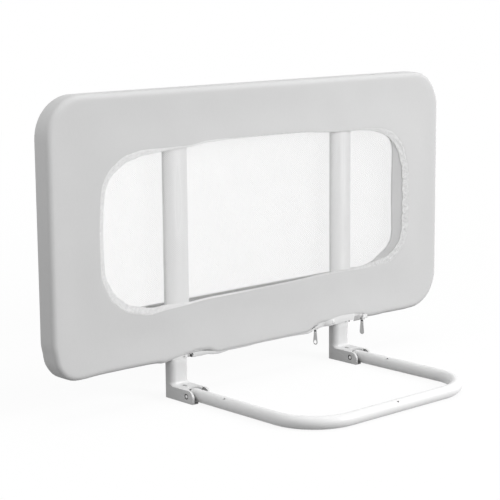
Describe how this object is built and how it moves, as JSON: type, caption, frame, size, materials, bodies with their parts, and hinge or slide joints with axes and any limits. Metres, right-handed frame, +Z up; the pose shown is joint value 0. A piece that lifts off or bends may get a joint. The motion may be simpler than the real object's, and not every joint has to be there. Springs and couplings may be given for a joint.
{
  "type": "folding bed guard rail",
  "caption": "Fabric-covered tubular panel with a net window, standing on hinged legs with a U-shaped bar that slides under a mattress and folds up for storage.",
  "frame": {"origin": "on the floor plane, in the middle of the footprint", "axes": "+X along the panel, +Y away from the bed, +Z up; the base bar points to -Y"},
  "size_m": [1, 0.4054, 0.5735],
  "materials": {
    "cover_fabric": "plain woven, matt",
    "net": "fine knitted net, matt",
    "binding": "gathered net edging, matt",
    "zip_tape": "woven tape with moulded teeth",
    "zip_metal": "cast zinc, bright plated",
    "painted_frame": "white powder coat, satin",
    "bracket": "white powder coat, satin",
    "nylon": "moulded nylon, matt",
    "steel": "bright zinc plate"
  },
  "bodies": {
    "panel": {"cover_front": "cover_fabric", "cover_back": "cover_fabric", "window_net_front": "net", "window_net_back": "net", "window_binding_front": "binding", "window_binding_back": "binding", "zip_tape_middle": "zip_tape", "zip_tape_right": "zip_tape", "rail_top": "painted_frame", "rail_bottom": "painted_frame", "rail_joiner_left": "nylon", "rail_rivet_left_lower": "steel", "rail_rivet_left_upper": "steel", "post_left": "painted_frame", "post_plug_left": "nylon", "post_bush_left": "nylon", "post_screw_left": "steel", "bracket_left": "bracket", "pivot_pin_left": "steel", "spacer_left_outer": "nylon", "spacer_left_inner": "nylon", "lock_spring_left": "steel", "rail_joiner_right": "nylon", "rail_rivet_right_lower": "steel", "rail_rivet_right_upper": "steel", "post_right": "painted_frame", "post_plug_right": "nylon", "post_bush_right": "nylon", "post_screw_right": "steel", "bracket_right": "bracket", "pivot_pin_right": "steel", "spacer_right_outer": "nylon", "spacer_right_inner": "nylon", "lock_spring_right": "steel"},
    "base": {"base_tube": "painted_frame", "tube_end_left": "bracket", "tube_end_right": "bracket"},
    "lock_button_left": {"lock_button_left": "bracket"},
    "lock_button_right": {"lock_button_right": "bracket"},
    "zip_slider_middle_left": {"zip_slider_middle_left": "zip_metal"},
    "zip_slider_middle_right": {"zip_slider_middle_right": "zip_metal"},
    "zip_slider_right": {"zip_slider_right": "zip_metal"},
    "zip_pull_middle": {"zip_pull_middle": "zip_metal"},
    "zip_pull_right": {"zip_pull_right": "zip_metal"}
  },
  "joints": [
    {"name": "base_fold", "type": "hinge", "parent": "panel", "child": "base", "pos_m": [0, 0.11725, 0.0125], "axis": [-1, 0, 0], "range_deg": [0, 90]},
    {"name": "lock_press_left", "type": "slide", "parent": "panel", "child": "lock_button_left", "axis": [0, 0, -1], "range_m": [0, 0.0025], "stiffness_N_per_m": 300, "springref_m": -0.002, "deforming": ["lock_spring_left"]},
    {"name": "lock_press_right", "type": "slide", "parent": "panel", "child": "lock_button_right", "axis": [0, 0, -1], "range_m": [0, 0.0025], "stiffness_N_per_m": 300, "springref_m": -0.002, "deforming": ["lock_spring_right"]},
    {"name": "zip_run_middle_left", "type": "slide", "parent": "panel", "child": "zip_slider_middle_left", "axis": [1, 0, 0], "range_m": [0, 0.155]},
    {"name": "zip_run_middle_right", "type": "slide", "parent": "panel", "child": "zip_slider_middle_right", "axis": [-1, 0, 0], "range_m": [0, 0.155]},
    {"name": "zip_run_right", "type": "slide", "parent": "panel", "child": "zip_slider_right", "axis": [1, 0, 0], "range_m": [0, 0.139]},
    {"name": "pull_swing_middle", "type": "hinge", "parent": "zip_slider_middle_right", "child": "zip_pull_middle", "pos_m": [0.1452, 0.1675, 0.0671], "axis": [0, 1, 0], "range_deg": [-80, 80]},
    {"name": "pull_swing_right", "type": "hinge", "parent": "zip_slider_right", "child": "zip_pull_right", "pos_m": [0.2808, 0.1675, 0.0671], "axis": [0, 1, 0], "range_deg": [-80, 80]}
  ]
}
